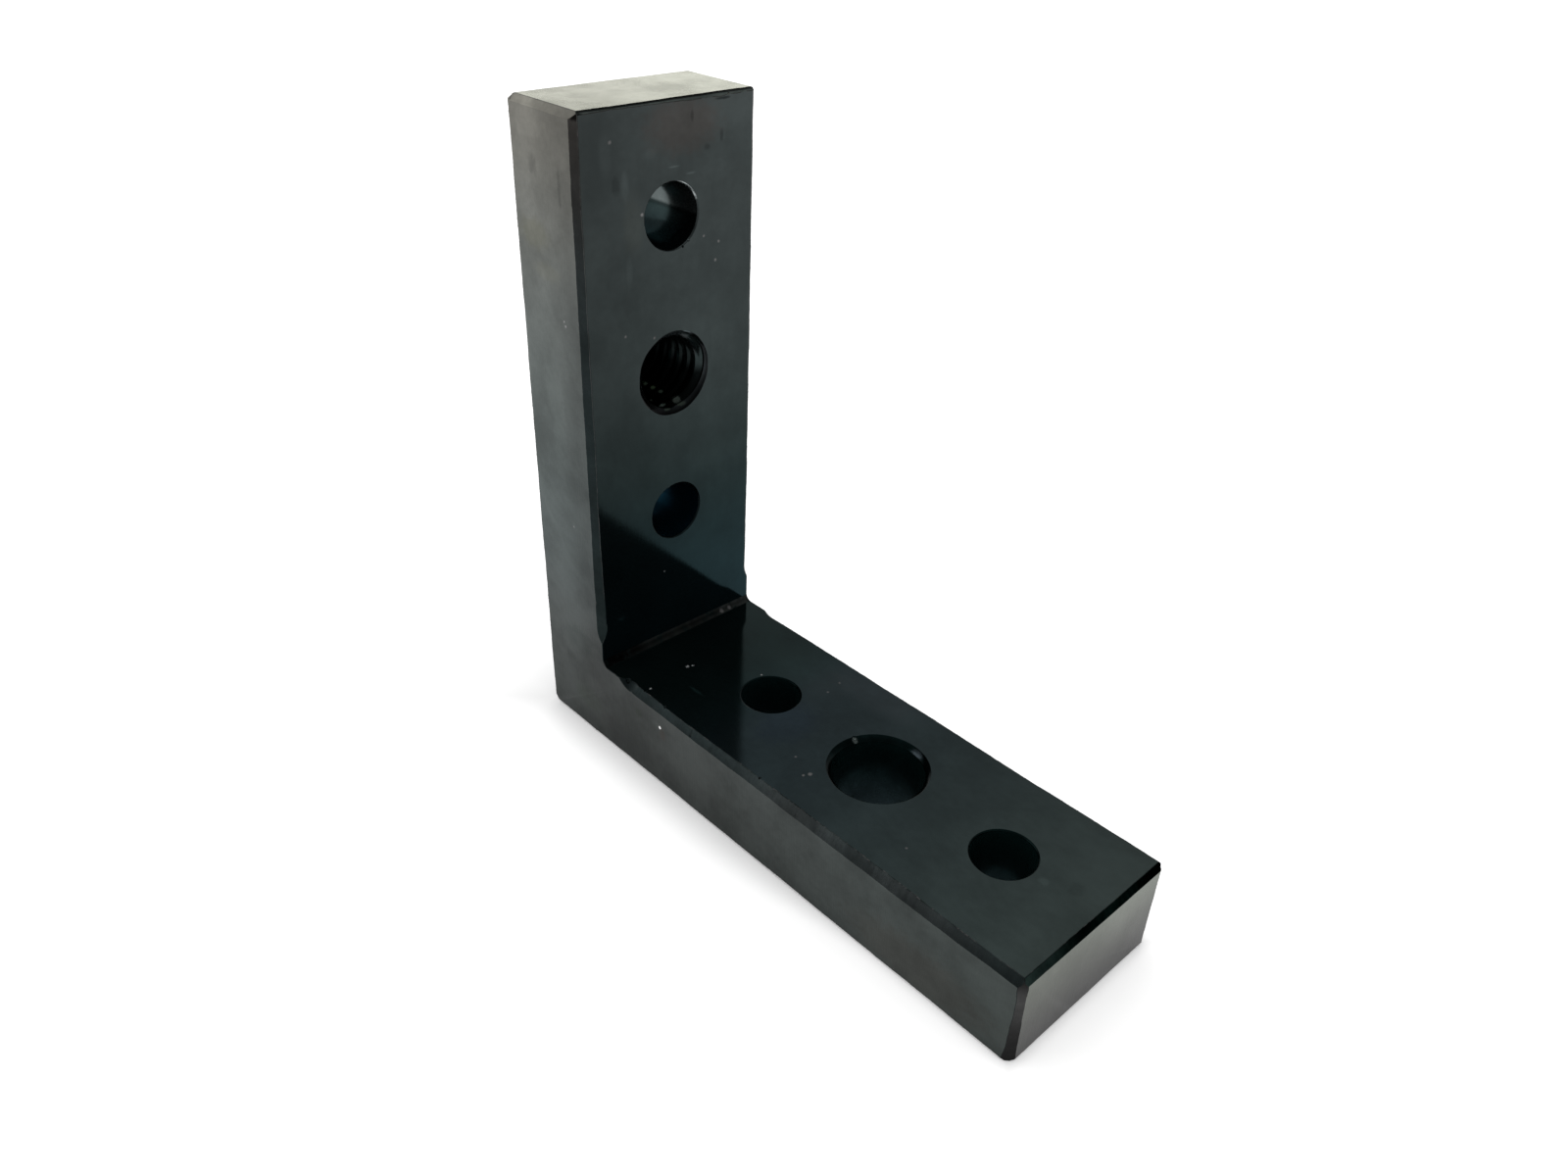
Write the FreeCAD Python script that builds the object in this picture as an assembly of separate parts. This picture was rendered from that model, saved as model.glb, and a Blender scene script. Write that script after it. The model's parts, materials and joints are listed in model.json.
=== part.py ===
import FreeCAD, Part
import math
import os

# Angle plate, in millimetres, +Z up.
# It is one block of steel ground to an L, with a base leg along X and an upright along Z.
# It is drawn from its outer corner: X is measured from the back of the upright, Z from the
# underside and Y from the middle of the width. The last step moves the origin to the middle
# of the underside.

# Outer form
BASE_LENGTH = 65.0
UPRIGHT_HEIGHT = 65.0
WIDTH = 20.0
BASE_THICKNESS = 10.0
UPRIGHT_THICKNESS = 10.0

# Edges and corners
INSIDE_RADIUS = 0.8
OUTSIDE_CHAMFER = 1.0
# On the inner faces and round the two ends
FACE_CHAMFER = 0.65
# On the long edges of the back and the underside
OUTER_BREAK = 0.3
# Where the upright's inner face meets the top end
TOP_BREAK = 0.3

# The cone cutter that chamfers the inner faces stops short of the inside corner.
# The radius is the cone's where it passes the side face, and the gap is what it keeps from the
# other leg.
CUTTER_RADIUS = 2.5
CUTTER_GAP = 2.0

# Row of three holes in each leg: a dowel bore, the middle hole and a dowel bore.
# A row's first axis is measured from the other leg's inner face, its last from the leg's end.
BASE_FIRST_HOLE = 15.0
BASE_LAST_HOLE = 10.0
UPRIGHT_FIRST_HOLE = 15.0
UPRIGHT_LAST_HOLE = 10.0

# Dowel bores
DOWEL_DIAMETER = 6.0
DOWEL_BREAK = 0.3

# Clearance hole in the middle of the base row
BOLT_HOLE_DIAMETER = 9.0
BOLT_HOLE_BREAK = 0.5

# M8 x 1.25 hole in the middle of the upright's row, drawn at its tapping drill
THREAD_DIAMETER = 8.0
DRILL_UNDERSIZE = 1.2
COUNTERSINK_MARGIN = 0.2

# How far a cutter runs past the surface it enters or leaves
OVERCUT = 1.0

X_WAY = FreeCAD.Vector(1, 0, 0)
Y_WAY = FreeCAD.Vector(0, 1, 0)
Z_WAY = FreeCAD.Vector(0, 0, 1)
HALF_WIDTH = WIDTH / 2
SIDES = (-1, 1)


def corner(x, y, z):
    return FreeCAD.Vector(x, y, z)


def l_block():
    """The L section with its rounded inside corner, drawn out over the width."""
    inside_x = UPRIGHT_THICKNESS + INSIDE_RADIUS
    inside_z = BASE_THICKNESS + INSIDE_RADIUS
    reach = INSIDE_RADIUS * math.sqrt(0.5)
    arc_start = corner(inside_x, -HALF_WIDTH, BASE_THICKNESS)
    arc_middle = corner(inside_x - reach, -HALF_WIDTH, inside_z - reach)
    arc_end = corner(UPRIGHT_THICKNESS, -HALF_WIDTH, inside_z)
    before_arc = Part.makePolygon([
        corner(0, -HALF_WIDTH, 0),
        corner(BASE_LENGTH, -HALF_WIDTH, 0),
        corner(BASE_LENGTH, -HALF_WIDTH, BASE_THICKNESS),
        arc_start,
    ])
    after_arc = Part.makePolygon([
        arc_end,
        corner(UPRIGHT_THICKNESS, -HALF_WIDTH, UPRIGHT_HEIGHT),
        corner(0, -HALF_WIDTH, UPRIGHT_HEIGHT),
        corner(0, -HALF_WIDTH, 0),
    ])
    arc = Part.Arc(arc_start, arc_middle, arc_end).toShape()
    outline = Part.Wire(before_arc.Edges + [arc] + after_arc.Edges)
    return Part.Face(outline).extrude(Y_WAY * WIDTH)


def chamfer_wedge(start, end, side_a, side_b, leg):
    """What a 45 degree chamfer takes off the edge from start to end, between two faces.

    side_a and side_b are the outward ways of the faces that meet in the edge.
    """
    near_a = start + side_a * OVERCUT - side_b * (leg + OVERCUT)
    near_b = start + side_b * OVERCUT - side_a * (leg + OVERCUT)
    outside = start + (side_a + side_b) * OVERCUT
    section = Part.Face(Part.makePolygon([near_a, outside, near_b, near_a]))
    return section.extrude(end - start)


def through_wedge(edge_point, way, length, side_a, side_b, leg):
    """A chamfer along a whole edge, from edge_point along way, past both of its ends."""
    start = edge_point - way * OVERCUT
    end = edge_point + way * (length + OVERCUT)
    return chamfer_wedge(start, end, side_a, side_b, leg)


def cutter_cone(x, z, side):
    """The cone cutter where it stops, with its axis across the width and its point inwards."""
    start = corner(x, side * (HALF_WIDTH + OVERCUT), z)
    reach = CUTTER_RADIUS + OVERCUT
    return Part.makeCone(reach, 0, reach, start, Y_WAY * -side)


def inner_face_chamfers(side):
    """The stopped chamfers beside the two inner faces, on one side of the plate."""
    side_way = Y_WAY * side
    edge_y = side * HALF_WIDTH
    stop_x = UPRIGHT_THICKNESS + CUTTER_GAP + CUTTER_RADIUS
    stop_z = BASE_THICKNESS + CUTTER_GAP + CUTTER_RADIUS
    cutter_offset = CUTTER_RADIUS - FACE_CHAMFER
    return [
        chamfer_wedge(
            corner(UPRIGHT_THICKNESS, edge_y, stop_z),
            corner(UPRIGHT_THICKNESS, edge_y, UPRIGHT_HEIGHT + OVERCUT),
            X_WAY, side_way, FACE_CHAMFER,
        ),
        cutter_cone(UPRIGHT_THICKNESS + cutter_offset, stop_z, side),
        chamfer_wedge(
            corner(stop_x, edge_y, BASE_THICKNESS),
            corner(BASE_LENGTH + OVERCUT, edge_y, BASE_THICKNESS),
            Z_WAY, side_way, FACE_CHAMFER,
        ),
        cutter_cone(stop_x, BASE_THICKNESS + cutter_offset, side),
    ]


def end_chamfers(side):
    """The chamfers of the top end and the free end that run along one side face."""
    side_way = Y_WAY * side
    edge_y = side * HALF_WIDTH
    top = corner(0, edge_y, UPRIGHT_HEIGHT)
    free_end = corner(BASE_LENGTH, edge_y, 0)
    return [
        through_wedge(top, X_WAY, UPRIGHT_THICKNESS, Z_WAY, side_way, FACE_CHAMFER),
        through_wedge(free_end, Z_WAY, BASE_THICKNESS, X_WAY, side_way, FACE_CHAMFER),
    ]


def outer_breaks(side):
    """The light breaks of the back and the underside along one side face."""
    side_way = Y_WAY * side
    foot = corner(0, side * HALF_WIDTH, 0)
    return [
        through_wedge(foot, Z_WAY, UPRIGHT_HEIGHT, -X_WAY, side_way, OUTER_BREAK),
        through_wedge(foot, X_WAY, BASE_LENGTH, -Z_WAY, side_way, OUTER_BREAK),
    ]


def cross_chamfers():
    """The chamfers that run across the width."""
    outside = corner(0, -HALF_WIDTH, 0)
    top_back = corner(0, -HALF_WIDTH, UPRIGHT_HEIGHT)
    top_front = corner(UPRIGHT_THICKNESS, -HALF_WIDTH, UPRIGHT_HEIGHT)
    end_top = corner(BASE_LENGTH, -HALF_WIDTH, BASE_THICKNESS)
    end_foot = corner(BASE_LENGTH, -HALF_WIDTH, 0)
    return [
        through_wedge(outside, Y_WAY, WIDTH, -X_WAY, -Z_WAY, OUTSIDE_CHAMFER),
        through_wedge(top_back, Y_WAY, WIDTH, -X_WAY, Z_WAY, FACE_CHAMFER),
        through_wedge(top_front, Y_WAY, WIDTH, X_WAY, Z_WAY, TOP_BREAK),
        through_wedge(end_top, Y_WAY, WIDTH, X_WAY, Z_WAY, FACE_CHAMFER),
        through_wedge(end_foot, Y_WAY, WIDTH, X_WAY, -Z_WAY, OUTER_BREAK),
    ]


def mouth_cone(mouth, way, radius, mouth_break):
    """A 45 degree break at a hole's mouth. way leads into the hole."""
    wide = radius + mouth_break + OVERCUT
    narrow = radius - OVERCUT
    return Part.makeCone(wide, narrow, wide - narrow, mouth - way * OVERCUT, way)


def through_hole(mouth, way, depth, radius, mouth_break):
    """A plain hole from mouth along way, broken at both ends."""
    bore = Part.makeCylinder(radius, depth + 2 * OVERCUT, mouth - way * OVERCUT, way)
    far_mouth = mouth + way * depth
    return [
        bore,
        mouth_cone(mouth, way, radius, mouth_break),
        mouth_cone(far_mouth, -way, radius, mouth_break),
    ]


def row_places(inner_face, end, first_margin, last_margin):
    """Where the three holes of a leg lie along it."""
    first = inner_face + first_margin
    last = end - last_margin
    return first, (first + last) / 2, last


def base_holes():
    first, middle, last = row_places(
        UPRIGHT_THICKNESS, BASE_LENGTH, BASE_FIRST_HOLE, BASE_LAST_HOLE
    )
    holes = []
    for x in (first, last):
        holes += through_hole(corner(x, 0, 0), Z_WAY, BASE_THICKNESS, DOWEL_DIAMETER / 2, DOWEL_BREAK)
    holes += through_hole(
        corner(middle, 0, 0), Z_WAY, BASE_THICKNESS, BOLT_HOLE_DIAMETER / 2, BOLT_HOLE_BREAK
    )
    return holes


def upright_holes():
    first, middle, last = row_places(
        BASE_THICKNESS, UPRIGHT_HEIGHT, UPRIGHT_FIRST_HOLE, UPRIGHT_LAST_HOLE
    )
    holes = []
    for z in (first, last):
        holes += through_hole(
            corner(0, 0, z), X_WAY, UPRIGHT_THICKNESS, DOWEL_DIAMETER / 2, DOWEL_BREAK
        )
    drill_radius = (THREAD_DIAMETER - DRILL_UNDERSIZE) / 2
    countersink = THREAD_DIAMETER / 2 + COUNTERSINK_MARGIN - drill_radius
    holes += through_hole(corner(0, 0, middle), X_WAY, UPRIGHT_THICKNESS, drill_radius, countersink)
    return holes


def angle_plate():
    cuts = cross_chamfers()
    for side in SIDES:
        cuts += inner_face_chamfers(side) + end_chamfers(side) + outer_breaks(side)
    cuts += base_holes() + upright_holes()
    plate = l_block()
    for cut in cuts:
        plate = plate.cut(cut)
    plate.translate(X_WAY * (-BASE_LENGTH / 2))
    return plate.removeSplitter()


os.makedirs("parts", exist_ok=True)
plate = angle_plate()
plate.exportStep("parts/angle_plate.step")
box = plate.BoundBox
print("valid", plate.isValid(), "solids", len(plate.Solids), "volume", round(plate.Volume, 2))
print("size", round(box.XLength, 3), round(box.YLength, 3), round(box.ZLength, 3))
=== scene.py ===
import json
import math
import random

import bmesh
import bpy
from mathutils import Matrix, Vector


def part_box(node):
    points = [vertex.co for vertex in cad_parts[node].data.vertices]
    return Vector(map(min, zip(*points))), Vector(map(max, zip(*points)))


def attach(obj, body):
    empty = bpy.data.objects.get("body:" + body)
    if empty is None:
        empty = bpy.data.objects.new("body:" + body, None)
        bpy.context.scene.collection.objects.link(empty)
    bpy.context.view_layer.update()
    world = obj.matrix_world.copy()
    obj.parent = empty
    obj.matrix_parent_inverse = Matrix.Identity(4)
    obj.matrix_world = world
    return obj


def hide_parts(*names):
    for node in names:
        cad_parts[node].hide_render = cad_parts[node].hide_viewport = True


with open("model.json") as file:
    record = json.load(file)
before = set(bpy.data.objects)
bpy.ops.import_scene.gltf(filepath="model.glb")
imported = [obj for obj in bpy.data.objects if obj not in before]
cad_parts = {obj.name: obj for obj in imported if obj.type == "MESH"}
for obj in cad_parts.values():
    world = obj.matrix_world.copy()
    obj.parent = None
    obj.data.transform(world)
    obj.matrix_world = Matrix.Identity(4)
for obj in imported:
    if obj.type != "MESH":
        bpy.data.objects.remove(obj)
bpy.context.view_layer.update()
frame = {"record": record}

MM = 0.001
NODE = "angle_plate"

# The plate's own places, in millimetres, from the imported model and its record
LOW, HIGH = [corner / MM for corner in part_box(NODE)]
MOUNTS = {mount["name"]: mount for mount in frame["record"]["mounts"]}
INNER_X = MOUNTS["upright_inner_seat"]["pos_m"][0] / MM
INNER_Z = MOUNTS["base_inner_seat"]["pos_m"][2] / MM

# The ground faces: outward way along an axis, the axis and the face's place on it
FLATS = [
    (-1, 0, LOW.x), (1, 0, INNER_X), (1, 0, HIGH.x), (-1, 1, LOW.y), (1, 1, HIGH.y),
    (-1, 2, LOW.z), (1, 2, INNER_Z), (1, 2, HIGH.z),
]
X_WAY = Vector((1, 0, 0))
Y_WAY = Vector((0, 1, 0))
Z_WAY = Vector((0, 0, 1))
SIDES = (-1, 1)

# Edges, corners and holes, in millimetres, as the solid has them
INSIDE_RADIUS = 0.8
OUTSIDE_CHAMFER = 1.0
CUTTER_RADIUS = 2.5
CUTTER_GAP = 2.0
BOLT_HOLE_BREAK = 0.5
COUNTERSINK_RADIUS = 4.2

# Finer than the solid has it: the mouths of the dowel bores, and the M8 thread, whose groove
# starts THREAD_START turns from the back face
DOWEL_BREAK = 0.15
MAJOR_RADIUS = 4.0
PITCH = 1.25
THREAD_START = -2.07

# Knocks in the edges: the place and the radius of each dent
KNOCKS = [
    ((2.95, 1.5, 10.0), 0.32), ((-18.8, -9.6, 10.0), 0.35), ((-16.25, -9.3, 10.0), 0.2),
    ((-12.87, -9.4, 10.0), 0.22), ((-8.4, -10.0, 9.4), 0.2), ((1.2, -9.4, 10.0), 0.16),
    ((6.6, -10.0, 9.35), 0.2), ((-22.5, 1.9, 52.55), 0.16), ((-22.5, 1.2, 52.05), 0.14),
    ((-22.5, 6.6, 64.75), 0.14), ((-22.5, 4.4, 64.78), 0.12), ((-22.8, 8.5, 64.75), 0.18),
]

# How finely the cutters are made, in millimetres and in steps
OVERCUT = 1.0
EDGE_STEP = 0.35
ARC_STEPS = 12
CONE_STEPS = 96
HOLE_STEPS = 144
THREAD_STEPS = 96

# The waves of an uneven line: their lengths, what their heights are divided by, and how much line
# a radian of a hole's rim counts for
WAVE_LENGTHS = (17.0, 8.0, 3.9, 2.1, 1.1)
WAVE_CALM = 1.35
RIM_LENGTH_PER_RADIAN = 2.7

# The fine rounding of the edges: its size, how short the edges are that are melted away before it,
# outside the holes and everywhere, the least turn that it rounds and the greatest turn that is
# shaded smooth. WORN is the material index that its faces get.
EDGE_ROUND = 0.05
SHORT_EDGE = 0.04
CRUMB = 0.004
SHARP_TURN = math.radians(25)
SMOOTH_TURN = math.radians(32)
WORN = 1

# How near a face lies to a ground face, a hole, a mouth, a countersink or an end to be part of it
FLAT_SLACK = 0.02
HOLE_MARGIN = 1.2
MOUTH_DEPTH = 0.8
COUNTERSINK_SLACK = 0.12
END_ZONE = 1.0

# Camera, solved on the photograph with the part's sizes held
CAMERA_PLACE = Vector((64.46, -69.06, 86.29)) * MM
CAMERA_TARGET = Vector((-6.23, 0.0, 23.47)) * MM
CAMERA_ROLL = math.radians(2.32)
CAMERA_LENS = 28.19


def closed_object(name, points, faces):
    """A mesh object in millimetres whose faces all turn outwards, in triangles."""
    mesh = bpy.data.meshes.new(name)
    mesh.from_pydata(points, [], faces)
    shape = bmesh.new()
    shape.from_mesh(mesh)
    bmesh.ops.recalc_face_normals(shape, faces=shape.faces)
    bmesh.ops.triangulate(shape, faces=[f for f in shape.faces if len(f.verts) > 3])
    shape.to_mesh(mesh)
    shape.free()
    made = bpy.data.objects.new(name, mesh)
    bpy.context.scene.collection.objects.link(made)
    return made


def cut(body, cutter):
    """Takes the cutter's shape out of the body and drops the cutter."""
    step = body.modifiers.new("cut", "BOOLEAN")
    step.operation = "DIFFERENCE"
    step.solver = "EXACT"
    step.object = cutter
    depsgraph = bpy.context.evaluated_depsgraph_get()
    mesh = bpy.data.meshes.new_from_object(body.evaluated_get(depsgraph))
    body.modifiers.clear()
    spent = [body.data, cutter.data]
    body.data = mesh
    bpy.data.objects.remove(cutter)
    for old in spent:
        bpy.data.meshes.remove(old)


def l_block():
    """The L section with its rounded inside corner, drawn out over the width."""
    outline = [(LOW.x, LOW.z), (HIGH.x, LOW.z), (HIGH.x, INNER_Z)]
    for step in range(ARC_STEPS + 1):
        turn = math.radians(270 - 90 * step / ARC_STEPS)
        x = INNER_X + INSIDE_RADIUS * (1 + math.cos(turn))
        z = INNER_Z + INSIDE_RADIUS * (1 + math.sin(turn))
        outline.append((x, z))
    outline += [(INNER_X, HIGH.z), (LOW.x, HIGH.z)]
    count = len(outline)
    points = [(x, y, z) for y in (LOW.y, HIGH.y) for x, z in outline]
    faces = [list(range(count)), list(range(count, 2 * count))]
    for i in range(count):
        j = (i + 1) % count
        faces.append((i, j, count + j, count + i))
    return closed_object("plate", points, faces)


def uneven(seed, swing):
    """A smooth unevenness along a line, about swing deep."""
    dice = random.Random(seed)
    waves = []
    for length in WAVE_LENGTHS:
        height = swing * math.sqrt(length / WAVE_LENGTHS[0]) / WAVE_CALM
        waves.append((height, length * dice.uniform(0.8, 1.25), dice.uniform(0, 2 * math.pi)))

    def at(place):
        return sum(
            height * math.sin(2 * math.pi * place / length + start) for height, length, start in waves
        )

    return at


def uneven_rim(seed, swing):
    """The unevenness of a hole's mouth for a turn angle. It fades out at the start of the turn."""
    wander = uneven(seed, swing)

    def at(turn):
        return wander(RIM_LENGTH_PER_RADIAN * turn) * math.sin(turn / 2) ** 2

    return at


def filed_leg(legs, length, seed, swing):
    """A chamfer's leg along its edge: it passes through the given legs and is slightly uneven."""
    wander = uneven(seed, swing)

    def at(place):
        spot = min(max(place / length, 0), 1) * (len(legs) - 1)
        first = min(int(spot), len(legs) - 2)
        ease = 0.5 - 0.5 * math.cos(math.pi * (spot - first))
        return legs[first] * (1 - ease) + legs[first + 1] * ease + wander(place)

    return at


def chamfer_cutter(start, way, length, side_a, side_b, legs_a, legs_b, seed, swing=0.03):
    """What a hand-finished chamfer takes off an edge between two faces.

    side_a and side_b are the outward ways of the faces. legs_a and legs_b are the chamfer's widths
    on them, from the edge's start to its end.
    """
    leg_a = filed_leg(legs_a, length, seed, swing)
    leg_b = filed_leg(legs_b, length, seed + 500, swing)
    steps = max(2, round(length / EDGE_STEP))
    points = []
    for i in range(steps + 1):
        along = length * i / steps
        edge = start + way * along
        on_a = edge - side_b * leg_a(along)
        on_b = edge - side_a * leg_b(along)
        slope = (on_a - on_b).normalized()
        outside = edge + (side_a + side_b) * OVERCUT
        points += [on_a + slope * OVERCUT, outside, on_b - slope * OVERCUT]
    faces = [(0, 1, 2), (3 * steps, 3 * steps + 1, 3 * steps + 2)]
    for i in range(steps):
        for j in range(3):
            k = (j + 1) % 3
            faces.append((3 * i + j, 3 * i + k, 3 * i + 3 + k, 3 * i + 3 + j))
    return closed_object("chamfer", points, faces)


def through_cutter(edge_start, way, length, side_a, side_b, legs_a, legs_b, seed, swing=0.03):
    """A chamfer along a whole edge, past both of its ends."""
    start = edge_start - way * OVERCUT
    return chamfer_cutter(start, way, length + 2 * OVERCUT, side_a, side_b, legs_a, legs_b, seed, swing)


def turned_cutter(start, way, profile, steps, rim=None):
    """A turned shape about an axis.

    profile lists (place along way, radius). rim, where it is given, is the unevenness that the
    radius gets for a turn angle, on the first and the last two rings. The first two read it from
    another angle, so that the two mouths differ.
    """
    first_mouth_turn = 3
    across = Y_WAY if abs(way.y) < 0.5 else X_WAY
    up = way.cross(across)
    points = []
    last = len(profile) - 1
    for ring, (along, radius) in enumerate(profile):
        for i in range(steps):
            turn = 2 * math.pi * i / steps
            extra = 0
            if rim and (ring < 2 or ring > last - 2):
                extra = rim(turn + (first_mouth_turn if ring < 2 else 0))
            out = across * math.cos(turn) + up * math.sin(turn)
            points.append(start + way * along + out * (radius + extra))
    faces = [list(range(steps)), list(range(last * steps, (last + 1) * steps))]
    for ring in range(last):
        for i in range(steps):
            j = (i + 1) % steps
            faces.append((
                ring * steps + i, ring * steps + j,
                (ring + 1) * steps + j, (ring + 1) * steps + i,
            ))
    return closed_object("turned", points, faces)


def stopped_chamfers(side):
    """The chamfers beside the two inner faces, which stop short of the inside corner."""
    side_way = Y_WAY * side
    edge_y = side * HIGH.y
    stop = CUTTER_GAP + CUTTER_RADIUS
    upright_legs = [(0.42, 0.4, 0.45, 0.5)] * 2
    base_legs = [(0.42, 0.42, 0.5, 0.45)] * 2
    if side < 0:
        upright_legs = [(0.64, 0.44, 0.42, 0.38, 0.31, 0.38), (0.72, 0.82, 0.88, 0.9, 0.9, 0.82)]
        base_legs = [(0.6, 0.48, 0.52, 0.6, 0.58, 0.5, 0.5), (0.75, 0.84, 0.84, 0.9, 0.95, 0.95, 0.86)]
    ends = [
        (Vector((INNER_X, edge_y, INNER_Z + stop)), Z_WAY, X_WAY, HIGH.z, upright_legs),
        (Vector((INNER_X + stop, edge_y, INNER_Z)), X_WAY, Z_WAY, HIGH.x, base_legs),
    ]
    cutters = []
    for start, way, face_way, far, (face_legs, side_legs) in ends:
        length = far + OVERCUT - start.dot(way)
        seed = int(start.z + side * 40)
        cutters.append(chamfer_cutter(start, way, length, face_way, side_way, face_legs, side_legs, seed))
        leg = filed_leg(side_legs, length, seed + 500, 0.03)(0)
        tip = start + face_way * (CUTTER_RADIUS - leg) + side_way * OVERCUT
        reach = CUTTER_RADIUS + OVERCUT
        cutters.append(turned_cutter(tip, -side_way, [(0, reach), (reach - 0.01, 0.01)], CONE_STEPS))
    return cutters


def end_chamfers(side):
    """The chamfers round the two ends and the light breaks of the back and the underside."""
    side_way = Y_WAY * side
    edge_y = side * HIGH.y
    top = Vector((LOW.x, edge_y, HIGH.z))
    free_end = Vector((HIGH.x, edge_y, LOW.z))
    foot = Vector((LOW.x, edge_y, LOW.z))
    upright = HIGH.z - LOW.z
    base = HIGH.x - LOW.x
    top_legs = [(0.46, 0.46), (0.62, 0.68)]
    free_legs = [(0.85, 0.62, 0.6, 0.7), (0.85, 0.6, 0.46, 0.75)] if side < 0 else [(0.6, 0.6)] * 2
    back_legs = [(0.3, 0.27, 0.3)] * 2
    under_legs = [(0.25, 0.3, 0.3)] * 2
    seed = 60 + side * 7
    return [
        through_cutter(top, X_WAY, INNER_X - LOW.x, Z_WAY, side_way, *top_legs, seed, 0.015),
        through_cutter(free_end, Z_WAY, INNER_Z - LOW.z, X_WAY, side_way, *free_legs, seed + 1, 0.04),
        through_cutter(foot, Z_WAY, upright, -X_WAY, side_way, *back_legs, seed + 2),
        through_cutter(foot, X_WAY, base, -Z_WAY, side_way, *under_legs, seed + 3),
    ]


def cross_chamfers():
    """The chamfers that run across the width."""
    width = HIGH.y - LOW.y
    outside = Vector((LOW.x, LOW.y, LOW.z))
    top_back = Vector((LOW.x, LOW.y, HIGH.z))
    top_front = Vector((INNER_X, LOW.y, HIGH.z))
    end_top = Vector((HIGH.x, LOW.y, INNER_Z))
    end_foot = Vector((HIGH.x, LOW.y, LOW.z))
    outside_legs = [(OUTSIDE_CHAMFER, OUTSIDE_CHAMFER)] * 2
    back_legs = [(0.65, 0.65)] * 2
    front_legs = [(0.3, 0.26, 0.33, 0.28)] * 2
    end_legs = [(0.66, 0.7, 0.66), (0.45, 0.44, 0.46)]
    foot_legs = [(0.3, 0.3)] * 2
    return [
        through_cutter(outside, Y_WAY, width, -X_WAY, -Z_WAY, *outside_legs, 91),
        through_cutter(top_back, Y_WAY, width, -X_WAY, Z_WAY, *back_legs, 92),
        through_cutter(top_front, Y_WAY, width, X_WAY, Z_WAY, *front_legs, 93, 0.04),
        through_cutter(end_top, Y_WAY, width, X_WAY, Z_WAY, *end_legs, 94, 0.015),
        through_cutter(end_foot, Y_WAY, width, X_WAY, -Z_WAY, *foot_legs, 95),
    ]


def flat_at(centre, normal):
    """The entry of FLATS on which a face lies."""
    for way, axis, place in FLATS:
        if abs(centre[axis] - place) < FLAT_SLACK and normal[axis] * way > 0.98:
            return way, axis, place
    return None


def hole_at(point):
    """The mount of the hole in which, or in whose mouth, a point lies."""
    for mount in MOUNTS.values():
        if "r_mm" in mount["dims"]:
            across = point - Vector(mount["pos_m"]) / MM
            across -= across.dot(Vector(mount["axis"])) * Vector(mount["axis"])
            if across.length < mount["dims"]["r_mm"] + HOLE_MARGIN:
                return mount
    return None


def left_sharp(point):
    """Whether the edges at a point get no fine rounding: in the holes and at the knocks."""
    if hole_at(point):
        return True
    return any((point - Vector(place)).length < 2 * radius for place, radius in KNOCKS)


def knock_cutter():
    """The knocks in the edges, each the dent of a lumpy ball."""
    shape = bmesh.new()
    for seed, (place, radius) in enumerate(KNOCKS):
        dice = random.Random(300 + seed)
        ball = bmesh.ops.create_icosphere(shape, subdivisions=2, radius=radius)["verts"]
        for vert in ball:
            vert.co = Vector(place) + vert.co * dice.uniform(0.75, 1.15)
    mesh = bpy.data.meshes.new("knocks")
    shape.to_mesh(mesh)
    shape.free()
    made = bpy.data.objects.new("knocks", mesh)
    bpy.context.scene.collection.objects.link(made)
    return made


def round_edges(body):
    """A fine rounding on the sharp edges outside the holes. Its faces get the material index WORN."""
    shape = bmesh.new()
    shape.from_mesh(body.data)
    plain = [e for e in shape.edges if not any(left_sharp(v.co) for v in e.verts)]
    bmesh.ops.dissolve_degenerate(shape, edges=plain, dist=SHORT_EDGE)
    bmesh.ops.dissolve_degenerate(shape, edges=shape.edges, dist=CRUMB)
    sharp = []
    for edge in shape.edges:
        if len(edge.link_faces) == 2 and edge.calc_face_angle() > SHARP_TURN:
            if not any(left_sharp(v.co) for v in edge.verts):
                sharp.append(edge)
    rounded = bmesh.ops.bevel(
        shape, geom=sharp, offset=EDGE_ROUND, offset_type="OFFSET", segments=2, profile=0.5,
        affect="EDGES", clamp_overlap=False,
    )
    for face in rounded["faces"]:
        face.material_index = WORN
    flatten(shape)
    shape.to_mesh(body.data)
    shape.free()


def flatten(shape):
    """Puts the points of the ground faces exactly in their planes, and every point in the box."""
    for face in shape.faces:
        flat = flat_at(face.calc_center_median(), face.normal)
        if flat:
            way, axis, place = flat
            for vert in face.verts:
                vert.co[axis] = place
    for vert in shape.verts:
        for axis in range(3):
            vert.co[axis] = min(max(vert.co[axis], LOW[axis]), HIGH[axis])


def mouth(radius, wide):
    """A hole's mouth as (depth, radius) from outside the face inwards.

    It rounds off the face, breaks the edge at about 45 degrees and rounds into the bore.
    """
    flare = 0.3
    return [
        (-flare, radius + wide + 2.4 * flare),
        (0.02, radius + wide - 0.05),
        (wide - 0.05, radius + 0.04),
        (wide + 0.03, radius),
    ]


def hole_cutter(name, wide, seed):
    """A plain hole, broken at both mouths, at a mount of the record."""
    place = Vector(MOUNTS[name]["pos_m"]) / MM
    way = X_WAY if abs(MOUNTS[name]["axis"][0]) > 0.5 else Z_WAY
    depth = (INNER_X - LOW.x) if way == X_WAY else (INNER_Z - LOW.z)
    radius = MOUNTS[name]["dims"]["r_mm"]
    start = place - way * (depth / 2)
    near = mouth(radius, wide)
    profile = near + [(depth - along, size) for along, size in reversed(near)]
    rim = uneven_rim(seed, 0.012 if wide < 0.3 else 0.025)
    return turned_cutter(start, way, profile, HOLE_STEPS, rim)


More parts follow.
